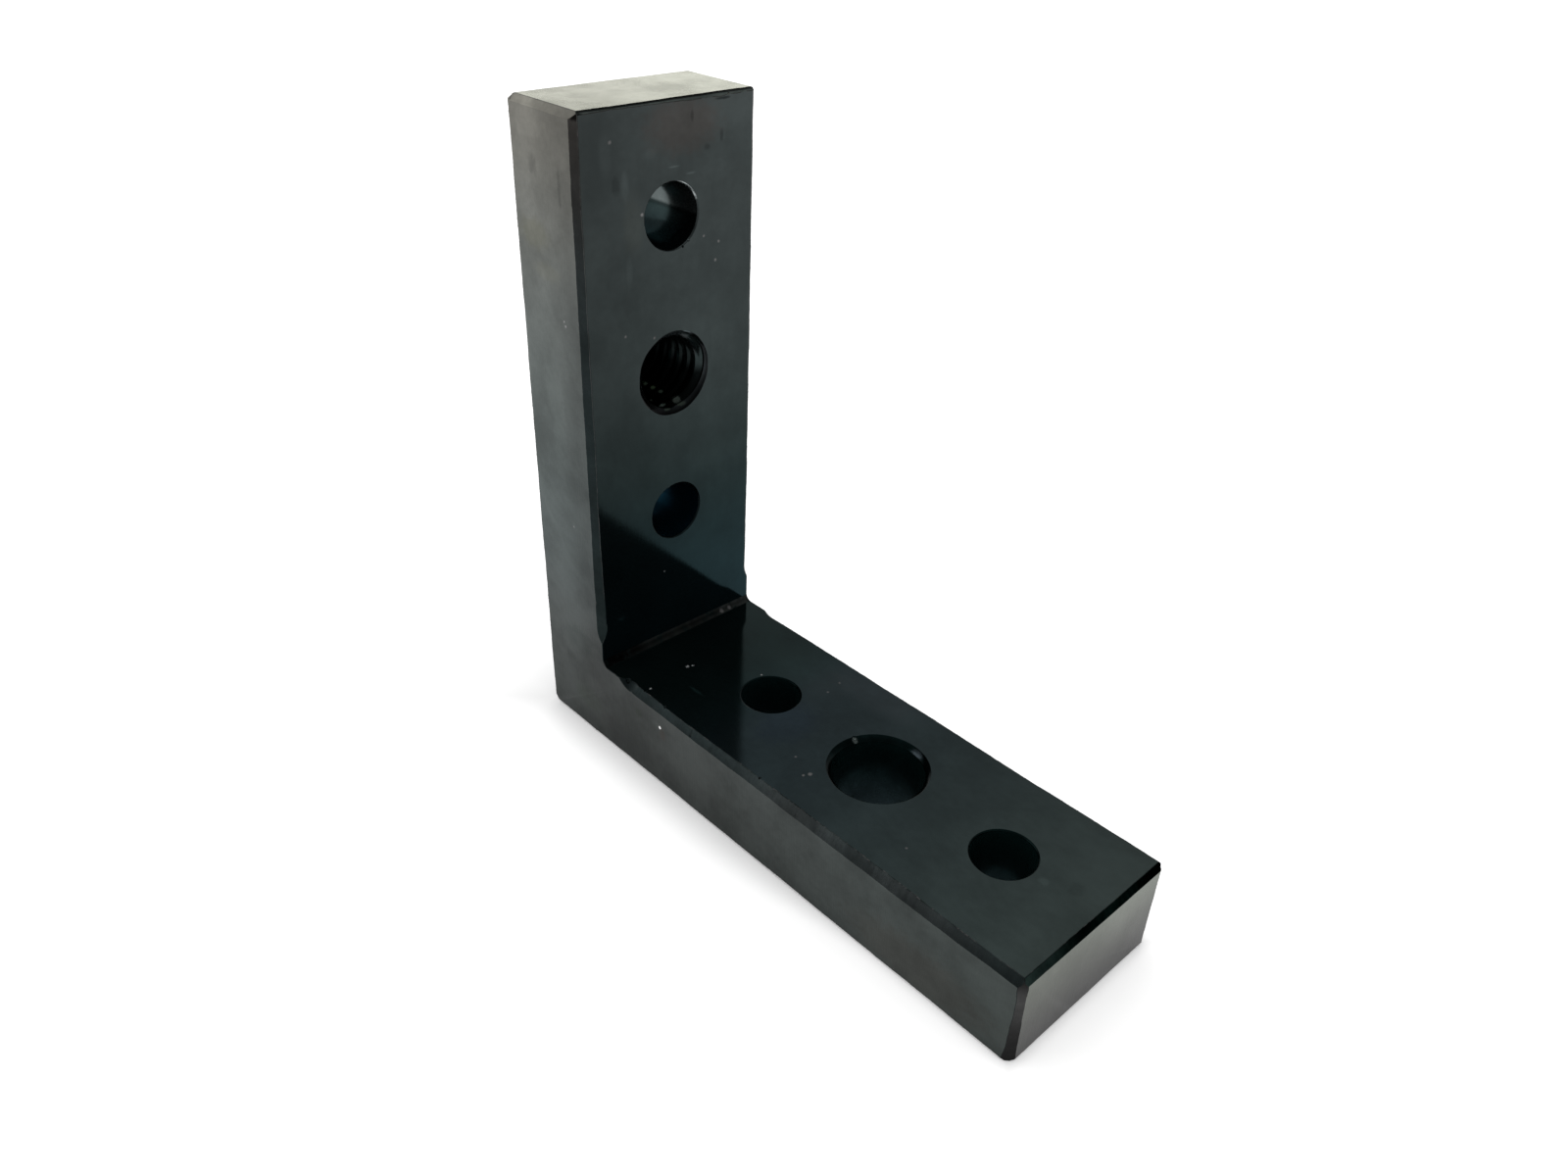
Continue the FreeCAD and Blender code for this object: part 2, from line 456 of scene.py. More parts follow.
def thread_form(drill):
    """One pitch of the thread's groove as (place along, radius): crest, flank, root and flank."""
    crest = 0.37
    root_start = 0.76
    root_end = 0.88
    half_way = drill + 0.3
    ease = 0.04
    bend = 0.03
    near_crest = drill + bend
    near_root = MAJOR_RADIUS - bend
    flat = [(crest * share / 4, drill) for share in range(4)]
    flank_up = [(crest, drill), (crest + ease, near_crest), (0.56, half_way)]
    root_way_in = [(root_start - ease, near_root), (root_start, MAJOR_RADIUS)]
    root_way_out = [(root_end, MAJOR_RADIUS), (root_end + ease, near_root)]
    flank_down = [(1.08, half_way), (PITCH - ease, near_crest)]
    return flat + flank_up + root_way_in + root_way_out + flank_down


def thread_cutter(name, seed):
    """The tapped hole: its drilled bore, the groove wound round it and a countersink at each mouth.

    Every row of points climbs one pitch in a turn, so a turn's end is the next row.
    """
    place = Vector(MOUNTS[name]["pos_m"]) / MM
    depth = INNER_X - LOW.x
    form = thread_form(MOUNTS[name]["dims"]["r_mm"])
    turns = math.ceil(depth / PITCH) + 5
    rows = [(turn * PITCH + along, radius) for turn in range(turns) for along, radius in form]
    count = len(rows)
    lift = len(form)
    start = THREAD_START * PITCH
    widest = 6.0
    rim = uneven_rim(seed, 0.03)
    points = []
    for i in range(THREAD_STEPS):
        share = i / THREAD_STEPS
        turn = 2 * math.pi * share
        out = Y_WAY * math.cos(turn) + Z_WAY * math.sin(turn)
        for along, radius in rows:
            place_along = start + along + share * PITCH
            inside = min(place_along, depth - place_along)
            flare = COUNTERSINK_RADIUS + rim(turn) - inside
            if inside < 0:
                flare += 1.4 * min(-inside, 0.3)
            reach = max(radius, min(flare, widest))
            points.append(place + X_WAY * (place_along - depth / 2) + out * reach)
    faces = []
    for i in range(THREAD_STEPS):
        last_column = i == THREAD_STEPS - 1
        shift = lift if last_column else 0
        this = i * count
        other = 0 if last_column else this + count
        for j in range(count - 1 - shift):
            faces.append((this + j, other + j + shift, other + j + 1 + shift, this + j + 1))
    bottom = list(range(lift, -1, -1)) + [i * count for i in range(1, THREAD_STEPS)]
    top_column = (THREAD_STEPS - 1) * count
    top = [i * count + count - 1 for i in range(THREAD_STEPS)]
    top += [top_column + j for j in range(count - 2, count - 2 - lift, -1)]
    for loop, along in ((bottom, start - 3.0), (top, start + turns * PITCH + 4.0)):
        centre = len(points)
        points.append(place + X_WAY * (along - depth / 2))
        for i, corner in enumerate(loop):
            faces.append((corner, loop[(i + 1) % len(loop)], centre))
    return closed_object("thread", points, faces)


def make_plate():
    """The whole plate in millimetres: block, chamfers, holes, knocks and the fine rounding."""
    body = l_block()
    cutters = cross_chamfers()
    for side in SIDES:
        cutters += stopped_chamfers(side) + end_chamfers(side)
    for cutter in cutters:
        cut(body, cutter)
    holes = [
        ("base_bolt", BOLT_HOLE_BREAK),
        ("base_dowel_inner", DOWEL_BREAK),
        ("base_dowel_outer", DOWEL_BREAK),
        ("upright_dowel_lower", DOWEL_BREAK),
        ("upright_dowel_upper", DOWEL_BREAK),
    ]
    for seed, (name, wide) in enumerate(holes):
        cut(body, hole_cutter(name, wide, 200 + seed))
    cut(body, thread_cutter("upright_thread", 220))
    cut(body, knock_cutter())
    round_edges(body)
    return body


def add_camera():
    """The photograph's camera. Its picture is 36 mm wide at the sensor."""
    data = bpy.data.cameras.new("camera")
    data.lens = CAMERA_LENS
    data.sensor_width = 36.0
    data.clip_start = 0.001
    data.clip_end = 50.0
    camera = bpy.data.objects.new("camera", data)
    bpy.context.scene.collection.objects.link(camera)
    aim = (CAMERA_TARGET - CAMERA_PLACE).to_track_quat("-Z", "Y").to_matrix().to_4x4()
    camera.matrix_world = Matrix.Translation(CAMERA_PLACE) @ aim @ Matrix.Rotation(CAMERA_ROLL, 4, "Z")
    bpy.context.scene.camera = camera


def dull(value):
    """A grey."""
    return (value, value, value)


def even(colour):
    """The stops of a tone that is the same all over."""
    return [(LOW.z, colour), (HIGH.z, colour)]


def add_node(tree, kind, inputs=None, **settings):
    """A node with its settings. An input takes a value or another node's output."""
    node = tree.nodes.new(kind)
    for name, value in settings.items():
        setattr(node, name, value)
    for name, value in (inputs or {}).items():
        if isinstance(value, bpy.types.NodeSocket):
            tree.links.new(value, node.inputs[name])
        else:
            node.inputs[name].default_value = value
    return node


def maths(tree, operation, first, second=0.0):
    return add_node(tree, "ShaderNodeMath", {0: first, 1: second}, operation=operation).outputs[0]


def vector_maths(tree, operation, first, second):
    return add_node(tree, "ShaderNodeVectorMath", {0: first, 1: second}, operation=operation).outputs[0]


def noise(tree, place, scale, detail=3.0, roughness=0.55):
    inputs = {"Vector": place, "Scale": scale, "Detail": detail, "Roughness": roughness}
    return add_node(tree, "ShaderNodeTexNoise", inputs).outputs["Fac"]


def between(tree, value, low, high, out_low=0.0, out_high=1.0):
    inputs = {
        "Value": value, "From Min": low, "From Max": high, "To Min": out_low, "To Max": out_high,
    }
    return add_node(tree, "ShaderNodeMapRange", inputs, interpolation_type="SMOOTHSTEP").outputs[0]


def mixed(tree, amount, first, second, blend="MIX"):
    """Colours mixed by amount."""
    node = add_node(tree, "ShaderNodeMix", data_type="RGBA", blend_type=blend)
    for socket, value in ((node.inputs[0], amount), (node.inputs[6], first), (node.inputs[7], second)):
        if isinstance(value, bpy.types.NodeSocket):
            tree.links.new(value, socket)
        elif isinstance(value, tuple):
            socket.default_value = (*value, 1)
        else:
            socket.default_value = value
    return node.outputs[2]


def tone_along(tree, place, low, high, stops):
    """A colour that runs through stops, (place in millimetres, colour), along an axis."""
    share = add_node(
        tree, "ShaderNodeMapRange", {"Value": place, "From Min": low, "From Max": high}
    ).outputs[0]
    ramp = add_node(tree, "ShaderNodeValToRGB", {"Fac": share})
    bar = ramp.color_ramp
    bar.interpolation = "B_SPLINE"
    while len(bar.elements) < len(stops):
        bar.elements.new(0.5)
    for element, (spot, colour) in zip(bar.elements, stops):
        element.position = (spot - low) / (high - low)
        element.color = (*colour, 1)
    return ramp.outputs["Color"]


def add_floor():
    """A pale floor.

    What whitens it for the camera and for reflections fades out beside the plate and under it, so
    that its contact shadow stays; the fade also paints a shade round the plate's foot, short at the
    free end and long at the outer corner.
    """
    bpy.ops.mesh.primitive_plane_add(size=6.0, location=(0, 0, -0.00002))
    floor = bpy.context.object
    floor.name = "floor"
    material = bpy.data.materials.new("floor")
    material.use_nodes = True
    tree = material.node_tree
    tree.nodes.clear()
    place = add_node(tree, "ShaderNodeTexCoord").outputs["Object"]
    axes = add_node(tree, "ShaderNodeSeparateXYZ", {0: place})
    beside = []
    for axis, half in (("X", HIGH.x), ("Y", HIGH.y)):
        beside.append(maths(tree, "SUBTRACT", maths(tree, "ABSOLUTE", axes.outputs[axis]), half * MM))
    away = maths(tree, "MAXIMUM", *beside)
    # Painted shade: the glow fades out near the plate, and farther out at the outer corner
    reach = between(tree, axes.outputs["X"], -0.005, 0.018, 0.0045, 0.0011)
    corner_shade_reach = between(tree, axes.outputs["X"], -0.04, -0.029, 0.007, 0.0)
    reach = maths(tree, "ADD", reach, corner_shade_reach)
    strength = between(tree, away, -0.001, reach, 0.16, 0.47)
    glow = add_node(tree, "ShaderNodeEmission", {"Strength": strength})
    pale = add_node(tree, "ShaderNodeBsdfDiffuse", {"Color": (*dull(0.95), 1)})
    seen_floor = add_node(tree, "ShaderNodeAddShader", {0: pale.outputs[0], 1: glow.outputs[0]})
    plain = add_node(tree, "ShaderNodeBsdfDiffuse", {"Color": (*dull(0.8), 1)})
    path = add_node(tree, "ShaderNodeLightPath")
    seen = path.outputs["Is Camera Ray"]
    for kind in ("Is Glossy Ray", "Is Transmission Ray"):
        seen = maths(tree, "MAXIMUM", seen, path.outputs[kind])
    both = add_node(tree, "ShaderNodeMixShader", {0: seen, 1: plain.outputs[0], 2: seen_floor.outputs[0]})
    add_node(tree, "ShaderNodeOutputMaterial", {"Surface": both.outputs[0]})
    floor.data.materials.append(material)


def add_softbox(name, way, width, height, energy):
    """A soft lamp a metre away, low beside the plate."""
    data = bpy.data.lights.new(name, "AREA")
    data.shape = "RECTANGLE"
    data.size = width
    data.size_y = height
    data.energy = energy
    lamp = bpy.data.objects.new(name, data)
    bpy.context.scene.collection.objects.link(lamp)
    aim = Vector(way).normalized()
    lamp.location = aim
    lamp.rotation_euler = aim.to_track_quat("Z", "Y").to_euler()


def add_world():
    """Soft light all round, rather brighter on the left.

    It is white at the horizon, dimmer half way up and bright overhead.
    """
    world = bpy.data.worlds.new("studio")
    bpy.context.scene.world = world
    world.use_nodes = True
    tree = world.node_tree
    way = add_node(tree, "ShaderNodeTexCoord").outputs["Generated"]
    axes = add_node(tree, "ShaderNodeSeparateXYZ", {0: way})
    height = tone_along(
        tree, axes.outputs["Z"], 0.0, 1.0,
        [(0.0, dull(1.0)), (0.12, dull(1.0)), (0.32, dull(0.6)), (0.6, dull(0.45)),
         (0.8, dull(0.65)), (1.0, dull(1.2))],
    )
    left = between(tree, axes.outputs["X"], 0.1, -0.8, 1.0, 1.35)
    back = tree.nodes["Background"]
    tree.links.new(height, back.inputs["Color"])
    tree.links.new(left, back.inputs["Strength"])


def marked(tree, tone, place, fine, marks, blend):
    """A tone with its marks.

    Each one has its place, its half sizes and a colour, which replaces the tone (MIX) or weighs its
    red, green and blue (MULTIPLY). Its outline is ragged.
    """
    ragged = maths(tree, "MULTIPLY_ADD", fine, 1.1)
    ragged.node.inputs[2].default_value = -0.55
    for centre, half_sizes, colour in marks:
        away = vector_maths(tree, "SUBTRACT", place, centre)
        share = vector_maths(tree, "DIVIDE", away, half_sizes)
        length = add_node(tree, "ShaderNodeVectorMath", {0: share}, operation="LENGTH").outputs["Value"]
        amount = between(tree, maths(tree, "ADD", length, ragged), 1.15, 0.45)
        tone = mixed(tree, amount, tone, colour, blend)
    return tone


def steel(
    kind, up, along=None, roughness=0.3, grain=0.3, mottle=0.15, gains=(), edge_tint=(1.0, 1.0, 1.0),
    metal=0.95, wear=None, marks=(), spots=(), grain_scale=(9.0, 9.0, 0.35),
):
    """One finish of the blackened steel.

    up and along are the tones up the plate and along the base, which add up. grain is how strong
    the grinding marks are and mottle how strong the oxide's clouds are. gains weigh the tone along
    an axis, (axis, low, high, gain at low, gain at high). marks weigh the tone, spots replace it and
    wear is the tone of the patches where the black is rubbed. On many finishes the tones, gains and
    spots also hold painted light and shade.
    """
    material = bpy.data.materials.new("blackened_steel_" + kind)
    material.use_nodes = True
    tree = material.node_tree
    shader = tree.nodes["Principled BSDF"]
    shader.inputs["Metallic"].default_value = metal
    shader.inputs["Specular IOR Level"].default_value = 0.0
    shader.inputs["Specular Tint"].default_value = (*edge_tint, 1)
    metres = add_node(tree, "ShaderNodeTexCoord").outputs["Object"]
    place = vector_maths(tree, "MULTIPLY", metres, dull(1 / MM))
    axes = add_node(tree, "ShaderNodeSeparateXYZ", {0: place})
    tone = tone_along(tree, axes.outputs["Z"], LOW.z, HIGH.z, up)
    if along:
        tone = mixed(tree, 1.0, tone, tone_along(tree, axes.outputs["X"], LOW.x, HIGH.x, along), "ADD")
    clouds = noise(tree, place, 0.16, 6.0, 0.62)
    gain = between(tree, clouds, 0.3, 0.7, 1 - mottle, 1 + mottle)
    fine = noise(tree, place, 1.3, 4.0, 0.7)
    speckle = 0.35 * mottle
    gain = maths(tree, "MULTIPLY", gain, between(tree, fine, 0.25, 0.75, 1 - speckle, 1 + speckle))
    for axis, low, high, gain_low, gain_high in gains:
        weight = between(tree, axes.outputs[axis], low, high, gain_low, gain_high)
        gain = maths(tree, "MULTIPLY", gain, weight)
    tone = add_node(tree, "ShaderNodeVectorMath", {0: tone, "Scale": gain}, operation="SCALE").outputs[0]
    tone = marked(tree, tone, place, fine, marks, "MULTIPLY")
    if wear:
        rubbed = noise(tree, place, 0.9, 5.0, 0.75)
        tone = mixed(tree, between(tree, rubbed, 0.5, 0.62), tone, wear)
    tone = marked(tree, tone, place, noise(tree, place, 6.0, 3.0, 0.6), spots, "MIX")
    tree.links.new(tone, shader.inputs["Base Color"])
    rough = between(tree, clouds, 0.3, 0.7, roughness * 1.25, roughness * 0.8)
    tree.links.new(rough, shader.inputs["Roughness"])
    if grain:
        lines = noise(tree, vector_maths(tree, "MULTIPLY", place, grain_scale), 1.0, 3.0, 0.6)
        bump = add_node(tree, "ShaderNodeBump", {"Strength": grain, "Distance": 0.00002, "Height": lines})
        tree.links.new(bump.outputs[0], shader.inputs["Normal"])
    return material


def on_upright(y, z):
    return INNER_X, y, z


def on_base(x, y):
    return x, y, INNER_Z


def on_side(x, z):
    return x, LOW.y, z


def fleck(place, size=0.14, tone=0.1):
    """A small grey spot."""
    return place, dull(size), dull(tone)


# The upright's inner face: the brown patch near its top, smears, dark spots and light scratches
UPRIGHT_MARKS = [
    (on_upright(1.4, 62.7), (1.0, 4.8, 2.8), (1.17, 0.97, 0.93)),
    (on_upright(5.9, 64.45), (1.0, 0.9, 0.14), dull(0.4)),
    (on_upright(-7.1, 61.2), (1.0, 0.7, 2.2), dull(1.2)),
    (on_upright(-6.1, 58.6), (1.0, 0.5, 1.0), dull(0.78)),
    (on_upright(-5.1, 58.4), (1.0, 0.5, 1.4), dull(1.26)),
    (on_upright(-2.3, 60.7), (1.0, 0.7, 0.6), dull(1.14)),
    (on_upright(-4.9, 50.8), (1.0, 0.4, 1.6), dull(1.18)),
    (on_upright(-4.3, 55.0), (1.0, 1.3, 3.0), (1.16, 1.12, 1.08)),
    (on_upright(2.4, 63.4), (1.0, 0.2, 0.6), dull(0.7)),
    (on_upright(5.8, 61.3), (1.0, 0.25, 0.6), dull(0.7)),
    (on_upright(4.1, 60.5), (1.0, 0.4, 0.35), dull(0.75)),
    (on_upright(0.3, 59.3), (1.0, 0.7, 0.12), dull(1.5)),
    (on_upright(2.2, 58.5), (1.0, 0.6, 0.1), dull(1.5)),
]
UPRIGHT_FLECKS = [
    fleck(on_upright(3.7, 52.6)), fleck(on_upright(5.5, 51.8), 0.17), fleck(on_upright(5.1, 50.1), 0.17),
    fleck(on_upright(-6.5, 62.2), 0.2, 0.08), fleck(on_upright(-1.7, 18.3), 0.12, 0.5),
    fleck(on_upright(-2.3, 44.1), 0.15, 0.08), fleck(on_upright(-5.6, 45.0), 0.15, 0.08),
    fleck(on_upright(-3.35, 55.7), 0.18, 0.13),
]

# The base's inner face: a faint streak, smudges near its end and the bluer middle, then flecks
BASE_MARKS = [
    (on_base(-12.9, -5.4), (1.1, 0.2, 1.0), dull(3.0)),
    (on_base(26.8, 0.0), (0.6, 0.5, 1.0), dull(1.3)),
    (on_base(29.2, 1.3), (0.8, 1.0, 1.0), dull(0.85)),
    (on_base(-3.0, -2.0), (3.0, 4.0, 1.0), (0.95, 0.97, 1.1)),
    (on_base(-8.0, 6.0), (6.0, 4.0, 1.0), (1.25, 1.18, 1.15)),
    (on_base(0.0, 8.0), (6.0, 2.5, 1.0), (1.35, 1.22, 1.22)),
]
BASE_FLECKS = [
    fleck(on_base(-16.7, -3.4), 0.22, 1.0), fleck(on_base(-16.5, -2.9), 0.16, 1.0),
    fleck(on_base(-16.2, -8.7), 0.16, 1.0), fleck(on_base(-4.0, 4.7)), fleck(on_base(-4.3, 6.7)),
    fleck(on_base(3.9, -5.5), 0.25, 0.12), fleck(on_base(3.6, -6.1), 0.16, 0.12),
    fleck(on_base(16.4, -5.9)), fleck(on_base(1.2, -4.8)), fleck(on_base(-10.6, 1.5), 0.12, 0.25),
]

# Light nicks in the rim of the bolt hole, then a painted highlight on the upper right of the upper dowel
# hole's rim
MOUTH_NICKS_AND_HIGHLIGHT = [
    ((2.95, 1.5, 9.7), (0.4, 0.3, 0.5), (0.07, 0.085, 0.082)),
    ((8.4, 4.6, 9.7), (0.9, 0.4, 0.5), (0.02, 0.026, 0.03)),
    # Painted highlight on the upper dowel hole's rim
    (on_upright(2.1, 57.3), (0.4, 1.5, 1.4), (0.4, 0.44, 0.44)),
]

# The tapped hole: a painted highlight on the top of its countersink, and the burrs on its lower rim and its
# thread
RIM_HIGHLIGHT_AND_BURRS = [
    # Painted highlights on the top of the countersink
    ((-22.8, 0.8, 43.9), (0.4, 2.6, 0.5), (0.11, 0.14, 0.15)),
    ((-22.95, 3.0, 42.5), (0.4, 0.9, 0.8), (0.06, 0.08, 0.085)),
    ((-22.9, 1.2, 36.4), (0.3, 0.6, 0.2), (0.02, 0.026, 0.022)),
    ((-22.9, -0.6, 36.3), (0.3, 0.5, 0.15), (0.03, 0.04, 0.034)),
]
BURRS = [
    ((-28.8, 1.1, 36.6), (0.5, 0.3, 0.2), (0.018, 0.026, 0.018)),
    ((-27.4, 1.1, 36.6), (0.4, 0.3, 0.2), (0.018, 0.028, 0.016)),
    ((-26.2, 1.1, 36.6), (0.45, 0.3, 0.2), (0.018, 0.026, 0.02)),
    ((-23.7, 1.1, 36.6), (0.7, 0.5, 0.4), (0.032, 0.04, 0.036)),
    ((-23.5, -0.6, 36.5), (0.3, 0.5, 0.2), (0.04, 0.055, 0.048)),
    ((-24.6, -1.0, 36.6), (0.6, 0.25, 0.2), (0.018, 0.024, 0.02)),
]

# The dark tip of the upright's near chamfer
CHAMFER_MARKS = [((-22.7, -9.7, 64.55), (0.7, 0.7, 0.4), dull(0.12))]

# The side faces: a round spot, smudges and short scratches, then flecks
SIDE_MARKS = [
    (on_side(-29.1, 59.6), (0.75, 1.0, 1.0), dull(0.74)),
    (on_side(-25.2, 58.5), (0.25, 1.0, 2.0), dull(0.75)),
    (on_side(-30.8, 62.2), (0.35, 1.0, 0.6), dull(1.08)),
    (on_side(-29.6, 53.6), (2.6, 1.0, 1.6), (1.0, 0.98, 0.88)),
    (on_side(-28.0, 50.5), (2.4, 1.0, 1.0), (1.08, 1.06, 1.0)),
    (on_side(-29.0, 8.3), (0.15, 1.0, 0.8), dull(0.62)),
    (on_side(-27.4, 5.9), (0.15, 1.0, 0.8), dull(0.68)),
    (on_side(-25.4, 4.1), (2.8, 1.0, 1.8), (0.86, 1.0, 0.84)),
    (on_side(-16.6, 7.3), (0.7, 1.0, 0.6), (0.6, 0.72, 0.58)),
    (on_side(-12.7, 6.8), (0.6, 1.0, 0.9), (1.1, 0.85, 0.78)),
    (on_side(-13.6, 7.6), (1.2, 1.0, 0.35), dull(1.3)),
    (on_side(22.0, 2.6), (9.0, 1.0, 3.2), (1.02, 0.9, 0.86)),
    (on_side(-26.8, 11.0), (3.0, 1.0, 2.0), (0.72, 0.8, 0.78)),
    (on_side(-25.5, 37.0), (1.6, 1.0, 7.0), dull(0.86)),
]
SIDE_FLECKS = [
    fleck(on_side(-13.1, 7.5), 0.2, 0.8), fleck(on_side(-25.5, 46.1), 0.14, 0.2),
    fleck(on_side(-25.7, 46.5), 0.12, 0.2), fleck(on_side(-26.3, 25.0), 0.12, 0.14),
]

